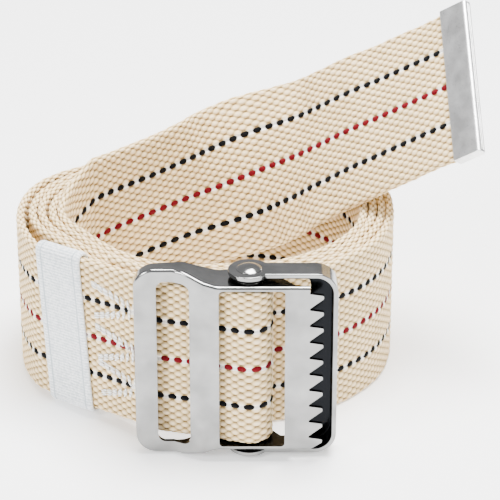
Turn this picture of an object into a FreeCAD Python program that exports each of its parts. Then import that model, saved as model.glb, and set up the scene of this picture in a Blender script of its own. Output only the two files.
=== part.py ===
"""Gait belt: two inch cotton webbing rolled on its edge, with a toothed steel buckle.

Plan view: +X right, +Y back, +Z up. The coil stands on its edge on the floor. It is drawn about the
buckle's pivot pin, which stands upright, and is moved at the end so that the origin lies at the
bottom centre of the whole part.
"""
import FreeCAD, Part
import math
import os
import re

import Sketcher
from FreeCAD import Placement, Rotation, Vector

# Driving dimensions in millimetres and degrees: alias, value and what it is.
SIZES = {
    "webbing_width": (50.8, "width of the webbing, two inches"),
    "webbing_thick": (2.5, "thickness of the webbing"),
    "turn_gap": (0.25, "air between two turns that lie close"),
    "loose_gap_outer": (1.0, "extra air at the left bend inside the first turn"),
    "loose_gap_inner": (0.6, "extra air at the left bend inside the third turn"),
    "left_bend": (34.5, "outer radius of the first turn at the left bend"),
    "front_bend": (44.5, "outer radius of the outermost layer at the front"),
    "right_bend": (50.0, "outer radius of the first turn at the right bend"),
    "pin_dia": (4.2, "diameter of the pivot pin"),
    "pin_fit": (0.05, "radial play of every ring on the pin"),
    "loop_bore": (8.9, "inside diameter of the webbing's loose loop round the pin"),
    "head_dia": (7.8, "diameter of a pin head"),
    "head_high": (1.2, "height of a pin head"),
    "floor_gap": (0.2, "air under the lower pin head"),
    "bail_reach": (25.9, "pin axis to the outside of the bail's crossbar"),
    "bail_thick": (1.5, "strip thickness of the bail"),
    "bail_deep": (7.7, "strip width of the bail, front to back"),
    "bail_corner": (6.5, "outer corner radius of the bail"),
    "ear_dia": (12.4, "diameter of the bail's round ears"),
    "lip_reach": (6.4, "how far the back lip stands inwards from the bail's crossbar"),
    "arm_lip": (3.0, "how far the back lip stands inwards from the bail's arms"),
    "lip_thick": (1.2, "thickness of the bail's back lip"),
    "washer_thick": (1.0, "thickness of each washer between bail and jaw"),
    "washer_dia": (8.4, "diameter of the washers"),
    "side_play": (0.1, "air each side of a washer"),
    "jaw_thick": (1.3, "sheet thickness of the toothed jaw"),
    "jaw_reach": (33.7, "pin axis to the jaw's left edge"),
    "strap_side_play": (0.6, "air between the webbing's edge and the jaw's turned back edge"),
    "neck_drop": (3.4, "how far the jaw's left part stands past its narrow part"),
    "jaw_corner": (6.0, "radius of the jaw's two outer corners"),
    "jaw_front": (7.0, "pin axis to the front of the toothed plate"),
    "jaw_set_back": (4.5, "how far the left bar lies behind the toothed plate"),
    "left_bar": (6.6, "width of the jaw's left bar"),
    "slot_wide": (9.7, "width of the jaw's left slot"),
    "slot_side_play": (1.45, "air between the webbing's edge and the end of the jaw's slot"),
    "slot_corner": (2.4, "corner radius of the jaw's slot"),
    "middle_bar": (8.6, "width of the jaw's middle bar"),
    "window_wide": (19.3, "width of the jaw's window"),
    "window_corner": (1.2, "corner radius of the jaw's window"),
    "plate_wide": (7.1, "width of the toothed plate up to the roots"),
    "tooth_deep": (4.0, "depth of the teeth"),
    "tooth_pitch": (5.35, "tooth spacing"),
    "lip_from": (17.0, "pin axis to where the bail's lip starts on its arms"),
    "lip_corner": (2.0, "corner radius inside the bail's lip"),
    "neck_far": (19.4, "pin axis to where the jaw starts to narrow"),
    "neck_near": (9.4, "pin axis to where the jaw has narrowed"),
    "neck_round": (5.0, "radius of the jaw's bends where it narrows"),
    "step_far": (22.4, "pin axis to where the jaw's plate steps forward"),
    "step_near": (13.4, "pin axis to where the jaw's plate has stepped forward"),
    "flange_end": (13.6, "pin axis to the right end of the jaw's turned back edges"),
    "flange_deep": (5.0, "how far the turned back edges reach behind the pin's axis"),
    "ear_half": (7.0, "half the length of the jaw's edges where they carry the pin"),
    "bar_flange": (1.0, "how far the turned back edges reach at the left bar"),
    "root_flat": (0.55, "flat between two teeth"),
    "upper_flank": (1.1, "height of a tooth's steep upper flank"),
    "tip_flat": (1.0, "height of a tooth's flat tip"),
    "tip_round": (0.4, "rounding of a tooth's tip"),
    "gullet_round": (0.3, "rounding at the foot of a tooth"),
    "tip_long": (10.0, "length of the metal end tip along the webbing"),
    "tip_wall": (0.55, "sheet thickness of the end tip"),
    "tip_fit": (0.05, "play between the end tip and the webbing"),
    "keeper_long": (18.0, "width of the elastic keeper along the webbing"),
    "keeper_wall": (1.0, "thickness of the elastic"),
    "keeper_play": (0.35, "play between the keeper and the webbing"),
    "keeper_start": (1.0, "start of the straight run to the keeper's edge"),
    "keeper_travel": (4.0, "how far the keeper slides towards the buckle"),
    "keeper_lift": (1.6, "webbing's height above the floor where the straight run starts"),
    "buckle_lift": (5.2, "webbing's height above the floor where the straight run ends"),
    "ply_gap": (0.1, "air between the webbing and its stitched down tail"),
    "tail_gap": (0.35, "air between the tail and the keeper at the end of its travel"),
    "thread_wide": (0.9, "width of a bar tack's row of thread"),
    "thread_high": (0.3, "height of the thread above the webbing"),
    "tack_inset": (1.0, "keeper at the end of its travel to the bar tack, and bar tack to the bend"),
}
TURNS = 4
# Centres of the three bends that the turns lie round, about the pin.
LEFT_POST = Vector(-38.4, 63.5, 0)
FRONT_POST = Vector(-15.9, 58.0, 0)
RIGHT_POST = Vector(-4.4, 64.5, 0)
# The outer turn's way to the buckle, from the left bend: radius and turn, in degrees.
SLACK_BEND = (65.0, 23.0)
KEEPER_BEND = (14.0, 27.0)
BUCKLE_BEND = (8.0, 21.0)
TAIL_BEND = 6.0
# Heading at which the tail leaves the loop, in degrees.
LOOP_EXIT = 205.0
# The free end follows the left bend inside the last turn: degrees round the bend, and its middle's
# height as a share of the webbing's width.
FREE_BEND = ((0, 0.5), (16.25, 0.512), (32.5, 0.545), (48.75, 0.587), (65, 0.637))
# Then it climbs out over the right side. Shares of the way to the core's right wall and to its back
# wall, height as a share of the webbing's width, and how far it leans back, in degrees.
FREE_CLIMB = (
    (0.149, 0.176, 0.7185, 2),
    (0.302, 0.385, 0.787, 4),
    (0.460, 0.548, 0.856, 13),
    (0.607, 0.585, 0.945, 24),
    (0.741, 0.417, 1.066, 32),
    (0.863, 0.153, 1.213, 36),
    (0.979, -0.093, 1.364, 38.5),
    (1.098, -0.325, 1.500, 41.5),
    (1.217, -0.553, 1.638, 42),
    (1.3325, -0.794, 1.7795, 41),
)
# How many points of the climb it takes for the upright edge line to turn square to the route.
SQUARING_POINTS = 3
STATIONS_PER_POINT = 3
# Starts of the bar tack's rows above the webbing's middle, and the drop of each leg.
TACK_ROWS = (18.0, 4.0, -8.0)
TACK_DROP = 5.0

doc = FreeCAD.newDocument("gait_belt")
sheet = doc.addObject("Spreadsheet::Sheet", "sizes")
for row, (alias, (number, note)) in enumerate(SIZES.items(), start=1):
    sheet.set(f"A{row}", note)
    sheet.set(f"B{row}", str(number))
    sheet.setAlias(f"B{row}", alias)
doc.recompute()
parts = []


# ---------------------------------------------------------------- helpers for the parametric document
def sheet_names(expression):
    """The expression with each alias written as a cell of the sheet."""
    return re.sub(r"[a-z]\w*", lambda m: f"sizes.{m[0]}" if m[0] in SIZES else m[0], expression)


def size(expression):
    """The present value of an expression of aliases, as a plain number."""
    return float(sheet.evalExpression(sheet_names(expression)))


def bind(thing, **expressions):
    """Binds properties of a document object to expressions of aliases."""
    for name, expression in expressions.items():
        thing.setExpression(name, sheet_names(expression))


def profile(name, points, upright):
    """A sketch of a closed outline. Each corner's two coordinates are bound to the sheet."""
    sketch = doc.addObject("Sketcher::SketchObject", name)
    if upright:
        sketch.Placement = Placement(Vector(), Rotation(Vector(1, 0, 0), 90))
    corners = [Vector(size(x), size(y), 0) for x, y, *_ in points]
    for i, corner in enumerate(corners):
        sketch.addGeometry(Part.LineSegment(corner, corners[(i + 1) % len(corners)]), False)
    for i, (x, y, *_) in enumerate(points):
        sketch.addConstraint(Sketcher.Constraint("Coincident", i, 2, (i + 1) % len(points), 1))
        for kind, expression in (("DistanceX", x), ("DistanceY", y)):
            index = sketch.addConstraint(Sketcher.Constraint(kind, i, 1, size(expression)))
            sketch.setExpression(f"Constraints[{index}]", sheet_names(expression))
    return sketch


def prism(name, points, low, high, upright=False):
    """An outline pushed out from low to high, along Z, or along Y where it is drawn upright.

    Each corner is its two coordinates, and its radius as a third where it is rounded.
    """
    solid = doc.addObject("Part::Extrusion", name)
    solid.Base = profile(name + "_outline", points, upright)
    solid.DirMode = "Normal"
    solid.Solid = True
    ends = (f"-({low})", high) if upright else (high, f"-({low})")
    bind(solid, LengthFwd=ends[0], LengthRev=ends[1])
    radii = {corner[2] for corner in points if len(corner) == 3}
    for step, radius in enumerate(sorted(radii, key=size, reverse=True)):
        doc.recompute()
        rounded = [(size(x), size(y)) for x, y, *rest in points if rest == [radius]]
        fillet = doc.addObject("Part::Fillet", f"{name}_round_{step}")
        fillet.Base = solid
        fillet.Edges = [(edge_at(solid.Shape, x, y, upright), size(radius), size(radius)) for x, y in rounded]
        solid = fillet
    return solid


def edge_at(shape, x, y, upright):
    """The number of the edge that stands on the outline's corner at x, y."""
    for number, edge in enumerate(shape.Edges, start=1):
        spots = [(p.X, p.Z if upright else p.Y) for p in edge.Vertexes]
        if all(math.hypot(px - x, py - y) < 1e-4 for px, py in spots):
            return number
    raise ValueError(f"no edge stands at {x}, {y}")


def box(name, left, right, bottom, top, low, high, upright=False, radius=()):
    """A block on a rectangle. radius holds the radius of its four upright edges, if they are rounded."""
    corners = [(left, bottom), (right, bottom), (right, top), (left, top)]
    return prism(name, [corner + radius for corner in corners], low, high, upright)


def mirrored(low_corners):
    """An outline's lower corners, followed by the same ones mirrored to its upper side."""
    return low_corners + [(x, f"-({y})", *radius) for x, y, *radius in reversed(low_corners)]


def cylinder(name, diameter, low, high):
    """A cylinder on the pin's axis, from low to high."""
    rod = doc.addObject("Part::Cylinder", name)
    bind(rod, Radius=f"({diameter}) / 2", Height=f"({high}) - ({low})")
    rod.setExpression("Placement.Base.z", sheet_names(low))
    return rod


def cut(name, base, tool):
    """base with tool taken away."""
    result = doc.addObject("Part::Cut", name)
    result.Base = base
    result.Tool = tool
    return result


def common(name, first, second):
    """What two solids share."""
    result = doc.addObject("Part::MultiCommon", name)
    result.Shapes = [first, second]
    return result


def fuse(name, *solids):
    """Several solids joined."""
    result = doc.addObject("Part::MultiFuse", name)
    result.Shapes = list(solids)
    result.Refine = True
    return result


def finish(thing, label, place=None):
    """Names a finished sub-part and puts it in its place."""
    thing.Label = label
    if place:
        thing.Placement = place
    parts.append(thing)


def soft_part(label, shape):
    """A length of webbing or thread, whose shape follows a computed route."""
    feature = doc.addObject("Part::Feature", label)
    feature.Shape = shape
    finish(feature, label)


# ---------------------------------------------------------------- routes in plan
class Route:
    """A route in plan of straight runs and arcs, each tangent to the one before."""

    def __init__(self, start, heading):
        self.at = start
        self.heading = heading
        self.pieces = []
        self.length = 0.0

    def ahead(self, heading=None):
        angle = math.radians(self.heading if heading is None else heading)
        return Vector(math.cos(angle), math.sin(angle), 0)

    def forward(self, distance):
        self.pieces.append(("run", self.at, self.heading, distance))
        self.at = self.at + self.ahead() * distance
        self.length += distance
        return self

    def turn(self, radius, degrees):
        """An arc to the left, or to the right for a negative turn."""
        if abs(degrees) < 1e-6:
            return self
        side = math.copysign(1.0, degrees)
        centre = self.at + self.ahead(self.heading + 90) * (side * radius)
        self.pieces.append(("arc", centre, self.heading, radius, degrees))
        self.heading += degrees
        self.at = centre - self.ahead(self.heading + 90) * (side * radius)
        self.length += math.radians(abs(degrees)) * radius
        return self

    def run_before(self, heading, point, radius):
        """Length of the run after which a bend of radius meets the line with heading through point."""
        turn = math.radians(heading - self.heading)
        to_corner = (point - self.at).dot(self.ahead(heading + 90)) / math.sin(-turn)
        return to_corner - radius * math.tan(abs(turn) / 2)

    def edges(self, shift):
        """The route's edges, moved sideways by shift to its left."""
        made = []
        for kind, place, heading, *rest in self.pieces:
            side = self.ahead(heading + 90) * shift
            if kind == "run":
                start = place + side
                made.append(Part.LineSegment(start, start + self.ahead(heading) * rest[0]))
                continue
            radius, degrees = rest
            sign = math.copysign(1.0, degrees)
            reach = radius - sign * shift
            spots = [
                place - self.ahead(heading + 90 + degrees * share) * (sign * reach)
                for share in (0, 0.5, 1)
            ]
            made.append(Part.Arc(*spots))
        return [piece.toShape() for piece in made]

    def band(self, thick, low, high):
        """A flat band on edge along the route, from height low to high."""
        right = self.edges(-thick / 2)
        left = self.edges(thick / 2)
        caps = [
            Part.LineSegment(right[i].Vertexes[i].Point, left[i].Vertexes[i].Point).toShape()
            for i in (0, -1)
        ]
        outline = Part.Wire(Part.__sortEdges__(right + left + caps))
        face = Part.Face(outline)
        face.translate(Vector(0, 0, low))
        return face.extrude(Vector(0, 0, high - low))

    def stations(self, step):
        """Points along the route, with the heading and the length so far at each."""
        found = []
        length = 0.0
        for kind, place, heading, *rest in self.pieces:
            if kind == "run":
                found.append((place, heading, length))
                length += rest[0]
                continue
            radius, degrees = rest
            count = max(1, math.ceil(abs(degrees) / step))
            sign = math.copysign(1.0, degrees)
            for i in range(count):
                angle = heading + degrees * i / count
                spot = place - self.ahead(angle + 90) * (sign * radius)
                found.append((spot, angle, length + math.radians(abs(degrees)) * radius * i / count))
            length += math.radians(abs(degrees)) * radius
        found.append((self.at, self.heading, length))
        return found


def tangent(post, radius, next_post, next_radius):
    """Heading and length of the straight run from one bend to the next, keeping both on the left."""
    way = next_post - post
    grow = next_radius - radius
    heading = math.degrees(math.atan2(way.y, way.x) - math.asin(grow / way.Length))
    return heading, math.sqrt(way.Length**2 - grow**2)


def ribbon(frames, wide, thick):
    """A solid ribbon through frames, each a centre, an edge direction and a face direction."""
    rings = []
    for centre, across, face in frames:
        a = across * (wide / 2)
        b = face * (thick / 2)
        rings.append([centre - a - b, centre + a - b, centre + a + b, centre - a + b])
    faces = [Part.Face(Part.makePolygon(ring + ring[:1])) for ring in (rings[0], rings[-1])]
    for ring, following in zip(rings, rings[1:]):
        for i in range(4):
            near = Part.makeLine(ring[i], ring[(i + 1) % 4])
            far = Part.makeLine(following[i], following[(i + 1) % 4])
            faces.append(Part.makeRuledSurface(near, far))
    solid = Part.Solid(Part.makeShell(faces))
    solid.fixTolerance(1e-5)
    if solid.Volume < 0:
        solid.reverse()
    return solid


# ---------------------------------------------------------------- the webbing
wide = size("webbing_width")
thick = size("webbing_thick")
layer = size("webbing_thick + turn_gap")

# Half heights across the buckle, from the webbing outwards.
jaw_inner = "webbing_width / 2 + strap_side_play"
jaw_half = f"{jaw_inner} + jaw_thick"
bail_inner = f"{jaw_half} + washer_thick + 2 * side_play"
bail_half = f"{bail_inner} + bail_thick"
pin_mid = size(f"floor_gap + head_high + {bail_half}")


def left_radius(turn):
    """Middle radius of a turn at the left bend, where two of the gaps are wider."""
    extra = (turn > 1) * size("loose_gap_outer") + (turn > 3) * size("loose_gap_inner")
    return size("left_bend - webbing_thick / 2") - (turn - 1) * layer - extra


def coil_turn(turn):
    """One turn of the coil, from the left bend round the front, the right bend and the back."""
    inner = left_radius(turn + 1)
    front = size("front_bend - webbing_thick / 2") - (turn - 1) * layer
    right = size("right_bend - webbing_thick / 2") - (turn - 1) * layer
    outer = left_radius(turn)
    route = Route(LEFT_POST - Vector(inner, 0, 0), -90)
    visits = ((LEFT_POST, inner), (FRONT_POST, front), (RIGHT_POST, right), (LEFT_POST, outer))
    for (post, radius), (next_post, next_radius) in zip(visits, visits[1:]):
        heading, run = tangent(post, radius, next_post, next_radius)
        route.turn(radius, (heading - route.heading) % 360)
        route.forward(run)
    return route.turn(outer, (270 - route.heading) % 360)


for number in range(1, TURNS + 1):
    soft_part(f"webbing_turn_{number}", coil_turn(number).band(thick, 0, wide))

# The lead leaves the outer turn at the left bend and meets the loop round the pin.
loop_radius = size("loop_bore / 2 + webbing_thick / 2")
loop_heading = SLACK_BEND[1] + KEEPER_BEND[1] + BUCKLE_BEND[1] - 90
lead = Route(LEFT_POST - Vector(left_radius(1), 0, 0), -90)
lead.turn(*SLACK_BEND).turn(*KEEPER_BEND)
straight_start = lead.at
straight_heading = lead.heading
straight_from = lead.length
loop_start = lead.ahead(loop_heading - 90) * loop_radius
straight_run = lead.run_before(loop_heading, loop_start, BUCKLE_BEND[0])
lead.forward(straight_run)
straight_to = lead.length
lead.turn(*BUCKLE_BEND)
bend_end = lead.at
lead.forward((loop_start - bend_end).Length)


def lift(length):
    """Height of the webbing's lower edge above the floor along the lead."""
    marks = (
        (0.0, 0.0),
        (straight_from, size("keeper_lift")),
        (straight_to, size("buckle_lift")),
        (lead.length, pin_mid - wide / 2),
    )
    for (a, low), (b, high) in zip(marks, marks[1:]):
        if length <= b + 1e-6:
            return low + (high - low) * (length - a) / (b - a)
    return marks[-1][1]


def lead_frames():
    """Sections of the lead, upright and lifted from the floor to the buckle's middle."""
    frames = []
    for spot, heading, length in lead.stations(6):
        angle = math.radians(heading + 90)
        centre = spot + Vector(0, 0, lift(length) + wide / 2)
        frames.append((centre, Vector(0, 0, 1), Vector(math.cos(angle), math.sin(angle), 0)))
    return frames


soft_part("webbing_lead", ribbon(lead_frames(), wide, thick))

# The loop goes round the pin and comes back as a tail behind the lead, short of the tilted keeper.
slope = math.atan((lift(straight_to) - lift(straight_from)) / straight_run)
keeper_end = size("keeper_start + keeper_long + keeper_travel") * math.cos(slope)
keeper_foot = size("webbing_width / 2 + keeper_play + keeper_wall") * math.sin(slope)
ply = size("webbing_thick + ply_gap")
ply_side = lead.ahead(loop_heading + 90) * ply
loop = Route(loop_start, loop_heading)
loop.turn(loop_radius, LOOP_EXIT - loop_heading)
loop.forward(loop.run_before(180 + loop_heading, loop_start + ply_side, TAIL_BEND))
loop.turn(TAIL_BEND, 180 + loop_heading - LOOP_EXIT)
loop.forward((bend_end + ply_side - loop.at).Length)
loop.turn(BUCKLE_BEND[0] - ply, -BUCKLE_BEND[1])
loop.forward(straight_run - keeper_end - keeper_foot - size("tail_gap"))
soft_part("webbing_loop", loop.band(thick, pin_mid - wide / 2, pin_mid + wide / 2))


def smooth(points, share, part):
    """Catmull-Rom value between points part and part + 1."""
    before = points[max(part - 1, 0)]
    here = points[part]
    after = points[part + 1]
    beyond = points[min(part + 2, len(points) - 1)]
    found = []
    for a, b, c, d in zip(before, here, after, beyond):
        found.append(
            b
            + 0.5 * share * (c - a)
            + share**2 * (a - 2.5 * b + 2 * c - 0.5 * d)
            + share**3 * (1.5 * (b - c) + 0.5 * (d - a))
        )
    return found


def free_end_points():
    """Points of the free end: its middle and how far it leans back."""
    bend = left_radius(TURNS + 1)
    points = []
    for degrees, high in FREE_BEND:
        angle = math.radians(180 - degrees)
        spot = LEFT_POST + Vector(math.cos(angle), math.sin(angle), 0) * bend
        points.append((spot.x, spot.y, high * wide, 0.0))
    core = size("right_bend") - TURNS * layer
    way = RIGHT_POST + Vector(core, core, 0) - spot
    for along, back, high, lean in FREE_CLIMB:
        points.append((spot.x + along * way.x, spot.y + back * way.y, high * wide, float(lean)))
    return points


def free_end_frames():
    """Sections of the free end: upright round the bend, then square to its climbing route."""
    points = free_end_points()
    row = []
    for part in range(len(points) - 1):
        for i in range(STATIONS_PER_POINT):
            row.append(smooth(points, i / STATIONS_PER_POINT, part))
    row.append(list(points[-1]))
    spots = [Vector(*station[:3]) for station in row]
    bend_stations = (len(FREE_BEND) - 1) * STATIONS_PER_POINT
    frames = []
    for i, station in enumerate(row):
        way = (spots[min(i + 1, len(spots) - 1)] - spots[max(i - 1, 0)]).normalize()
        if i == 0:
            way = Vector(0, 1, 0)
        level = Vector(-way.y, way.x, 0).normalize()
        lean = math.radians(station[3])
        square = way.cross(level) * math.cos(lean) + level * math.sin(lean)
        turned = min(max((i - bend_stations) / (SQUARING_POINTS * STATIONS_PER_POINT), 0), 1)
        across = (Vector(0, 0, 1) * (1 - turned) + square * turned).normalize()
        face = across.cross(way)
        frames.append((spots[i], across / face.Length, face.normalize()))
    # The last length is straight, where the end tip grips it.
    frames.append((spots[-1] + way * size("tip_long - tip_wall - tip_fit"), across, face))
    return frames


free_frames = free_end_frames()
soft_part("webbing_free_end", ribbon(free_frames, wide, thick))

# The end tip is a folded steel channel that closes the free end.
end_centre, end_across, end_face = free_frames[-1]
end_way = end_face.cross(end_across)
tip_centre = end_centre - end_way * size("tip_long / 2 - tip_wall - tip_fit")
tip_place = Placement(tip_centre, Rotation(end_way, end_face, end_across, "ZXY"))
shell = box(
    "tip_shell",
    "-tip_long / 2",
    "tip_long / 2",
    "-(webbing_thick / 2 + tip_fit + tip_wall)",
    "webbing_thick / 2 + tip_fit + tip_wall",
    "-(webbing_width / 2 + tip_fit + tip_wall)",
    "webbing_width / 2 + tip_fit + tip_wall",
)
pocket = box(
    "tip_pocket",
    "-tip_long",
    "tip_long / 2 - tip_wall",
    "-(webbing_thick / 2 + tip_fit)",
    "webbing_thick / 2 + tip_fit",
    "-(webbing_width / 2 + tip_fit)",
    "webbing_width / 2 + tip_fit",
)
finish(cut("tip", shell, pocket), "end_tip", tip_place)

# ---------------------------------------------------------------- elastic keeper and bar tack
run_turn = Rotation(Vector(0, 0, 1), straight_heading).multiply(
    Rotation(Vector(0, 1, 0), -math.degrees(slope))
)
run_way = run_turn.multVec(Vector(1, 0, 0))
run_start = straight_start + Vector(0, 0, lift(straight_from) + wide / 2)
opening = "webbing_width / 2 + keeper_play"
sleeve = box(
    "keeper_sleeve",
    "0",
    "keeper_long",
    "-(webbing_thick / 2 + keeper_play + keeper_wall)",
    "webbing_thick / 2 + keeper_play + keeper_wall",
    f"-({opening} + keeper_wall)",
    f"{opening} + keeper_wall",
)
hollow = box(
    "keeper_hollow",
    "-keeper_long",
    "2 * keeper_long",
    "-(webbing_thick / 2 + keeper_play)",
    "webbing_thick / 2 + keeper_play",
    f"-({opening})",
    opening,
)
keeper_place = Placement(run_start + run_way * size("keeper_start"), run_turn)
finish(cut("keeper", sleeve, hollow), "elastic_keeper", keeper_place)


def bar_tack():
    """Zigzag rows of thread on the webbing's face, over its stitched down tail."""
    high = size("thread_high")
    row = size("thread_wide")
    left = size("keeper_start + keeper_long + keeper_travel + tack_inset")
    right = straight_run - size("tack_inset")
    solids = []
    for start in TACK_ROWS:
        legs = ((left, start), (right, start - TACK_DROP), (left, start - 2 * TACK_DROP))
        for (x0, z0), (x1, z1) in zip(legs, legs[1:]):
            leg = Part.makeBox(math.hypot(x1 - x0, z1 - z0), high, row)
            leg.rotate(Vector(), Vector(0, 1, 0), -math.degrees(math.atan2(z1 - z0, x1 - x0)))
            leg.translate(Vector(x0, -thick / 2 - high, z0 - row / 2))
            solids.append(leg)
    thread = solids[0].fuse(solids[1:]).removeSplitter()
    thread.Placement = Placement(run_start, run_turn)
    return thread


soft_part("bar_tack", bar_tack())

# ---------------------------------------------------------------- the buckle, about its pin
buckle_place = Placement(Vector(0, 0, pin_mid), Rotation())
clear_of_all = f"2 * ({bail_half})"

# The bail: a strip bent into a U, with round ears on the pin and a lip turned in at its back.
outer_low = [("-ear_dia / 2", f"-({bail_half})"), ("bail_reach", f"-({bail_half})", "bail_corner")]
strip_outer = prism("bail_outer", mirrored(outer_low), "-ear_dia", "ear_dia", upright=True)
inner_low = [
    ("-ear_dia", f"-({bail_inner})"),
    ("bail_reach - bail_thick", f"-({bail_inner})", "bail_corner - bail_thick"),
]
strip_inner = prism("bail_inner", mirrored(inner_low), "-2 * ear_dia", "2 * ear_dia", upright=True)
arms = box("bail_arms", "0", "2 * bail_reach", "-bail_deep / 2", "bail_deep / 2", f"-({bail_half})", bail_half)
ears = cylinder("bail_ears", "ear_dia", f"-({bail_half})", bail_half)
strip = common("bail_strip", cut("bail_u", strip_outer, strip_inner), fuse("bail_plan", arms, ears))
lip_block = box(
    "lip_block",
    "lip_from",
    "2 * bail_reach",
    f"-({bail_half})",
    bail_half,
    "bail_deep / 2 - lip_thick",
    "bail_deep / 2",
    upright=True,
)
lip_opening = box(
    "lip_opening",
    "-bail_reach",
    "bail_reach - bail_thick - lip_reach",
    f"-({bail_inner} - arm_lip)",
    f"{bail_inner} - arm_lip",
    "-ear_dia",
    "ear_dia",
    upright=True,
    radius=("lip_corner",),
)
lip = cut("bail_lip", common("lip_in_outline", lip_block, strip_outer), lip_opening)
bail_holes = cylinder("bail_holes", "pin_dia", f"-{clear_of_all}", clear_of_all)
finish(cut("bail_body", fuse("bail_with_lip", strip, lip), bail_holes), "bail", buckle_place)


def pin_head(name, sign):
    """A domed head, a cap of a sphere, on one end of the pin."""
    ball = doc.addObject("Part::Sphere", name + "_ball")
    dome = "(head_dia * head_dia / 4 + head_high * head_high) / (2 * head_high)"
    bind(ball, Radius=dome)
    ball.setExpression("Placement.Base.z", sheet_names(f"{sign} * ({bail_half} + head_high - {dome})"))
    ends = (bail_half, f"{bail_half} + 2 * head_high")
    if sign < 0:
        ends = (f"-({ends[1]})", f"-({ends[0]})")
    return common(name, ball, cylinder(name + "_rim", "head_dia", *ends))


shank = cylinder("pin_shank", "pin_dia", f"-({bail_half})", bail_half)
pin = fuse("pin", shank, pin_head("upper_head", 1), pin_head("lower_head", -1))
finish(pin, "pivot_pin", buckle_place)


def washer(label, low):
    """A flat washer on the pin, between the bail and the jaw."""
    high = f"{low} + washer_thick"
    disc = cylinder(label + "_disc", "washer_dia", low, high)
    hole = cylinder(label + "_hole", "pin_dia + 2 * pin_fit", f"{low} - 1", f"{high} + 1")
    finish(cut(label + "_ring", disc, hole), label, buckle_place)


washer("upper_washer", f"{bail_inner} - side_play - washer_thick")
washer("lower_washer", f"-({bail_inner}) + side_play")

# The jaw: a pressed plate with turned back edges, a slot, a window and a row of teeth.
half_tall = f"{jaw_half} + neck_drop"
root = "left_bar + slot_wide + middle_bar + window_wide + plate_wide - jaw_reach"
low_edge = [
    ("-jaw_reach", f"-({half_tall})", "jaw_corner"),
    ("-neck_far", f"-({half_tall})", "neck_round"),
    ("-neck_near", f"-({jaw_half})", "neck_round"),
    (root, f"-({jaw_half})"),
]
teeth = []
tooth_count = int(size(f"2 * ({jaw_half}) / tooth_pitch"))
for tooth in range(tooth_count):
    middle = f"{tooth - (tooth_count - 1) / 2} * tooth_pitch"
    teeth += [
        (root, f"{middle} - (tooth_pitch - upper_flank - root_flat)", "gullet_round"),
        (f"{root} + tooth_deep", f"{middle} - tip_flat / 2", "tip_round"),
        (f"{root} + tooth_deep", f"{middle} + tip_flat / 2", "tip_round"),
        (root, f"{middle} + upper_flank", "gullet_round"),
    ]
# The lowest tooth slopes back straight into the plate's lower corner.
corners = low_edge + teeth[1:] + mirrored(low_edge)[len(low_edge) :]
front_view = prism("jaw_front_view", corners, "-2 * jaw_front", "2 * jaw_front", upright=True)

plate = "-jaw_front"
bar = "jaw_set_back - jaw_front"
beyond = f"{root} + tooth_deep + 1"
plan = [
    ("-jaw_reach - 1", bar),
    ("-step_far", bar),
    ("-step_near", plate),
    (beyond, plate),
    (beyond, "jaw_thick - jaw_front"),
    ("flange_end", "jaw_thick - jaw_front"),
    ("ear_half", "flange_deep / 2"),
    ("ear_half / 2", "flange_deep"),
    ("-ear_half / 2", "flange_deep"),
    ("-jaw_reach - 1", "bar_flange"),
]
tray = common("jaw_tray", front_view, prism("jaw_plan", plan, f"-({half_tall})", half_tall))
inset_low = [
    ("jaw_thick - jaw_reach", f"-({half_tall} - jaw_thick)", "jaw_corner - jaw_thick"),
    ("-neck_far", f"-({half_tall} - jaw_thick)", "neck_round"),
    ("-neck_near", f"-({jaw_inner})", "neck_round"),
    ("2 * bail_reach", f"-({jaw_inner})"),
]
inset_view = prism("jaw_inset_view", mirrored(inset_low), "-2 * jaw_front", "4 * jaw_front", upright=True)
behind = [
    ("-2 * jaw_reach", f"{bar} + jaw_thick"),
    ("-step_far", f"{bar} + jaw_thick"),
    ("-step_near", f"{plate} + jaw_thick"),
    ("2 * bail_reach", f"{plate} + jaw_thick"),
    ("2 * bail_reach", "4 * jaw_front"),
    ("-2 * jaw_reach", "4 * jaw_front"),
]
cavity = common("jaw_cavity", inset_view, prism("jaw_behind", behind, f"-({half_tall})", half_tall))
slot = box(
    "jaw_slot",
    "left_bar - jaw_reach",
    "left_bar + slot_wide - jaw_reach",
    "-(webbing_width / 2 + slot_side_play)",
    "webbing_width / 2 + slot_side_play",
    "-2 * jaw_front",
    "2 * jaw_front",
    upright=True,
    radius=("slot_corner",),
)
window = box(
    "jaw_window",
    "left_bar + slot_wide + middle_bar - jaw_reach",
    f"{root} - plate_wide",
    f"-({jaw_inner})",
    jaw_inner,
    "-2 * jaw_front",
    "2 * jaw_front",
    upright=True,
    radius=("window_corner",),
)
jaw_holes = cylinder("jaw_holes", "pin_dia + 2 * pin_fit", f"-{clear_of_all}", clear_of_all)
cuts = fuse("jaw_cuts", cavity, slot, window, jaw_holes)
finish(cut("jaw_body", tray, cuts), "toothed_jaw", buckle_place)

# ---------------------------------------------------------------- place, checks and files
doc.recompute()
whole = Part.makeCompound([part.Shape for part in parts]).optimalBoundingBox(False)
to_bottom_centre = Vector(-whole.Center.x, -whole.Center.y, -whole.ZMin)
for part in parts:
    part.Placement = Placement(part.Placement.Base + to_bottom_centre, part.Placement.Rotation)
doc.recompute()

for thing in doc.Objects:
    if {"Invalid", "Error"} & set(thing.State):
        raise RuntimeError(f"{thing.Label} did not build")
for part in parts:
    if part.Shape.isNull() or not part.Shape.isValid():
        raise RuntimeError(f"{part.Label} has no valid shape")

os.makedirs("parts", exist_ok=True)
for part in parts:
    part.Shape.exportStep(f"parts/{part.Label}.step")
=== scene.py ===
"""Gait belt: the looks of a coiled cotton transfer belt with a toothed steel buckle.

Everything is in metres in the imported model's own frame: +X right, +Y back, +Z up. The sizes below
are in millimetres where their names end in _mm.
"""
import enum
import logging
import math
from collections.abc import Callable
from dataclasses import dataclass, field
from functools import partial

import bmesh
import bpy
import numpy as np
from mathutils import Matrix, Vector


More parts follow.
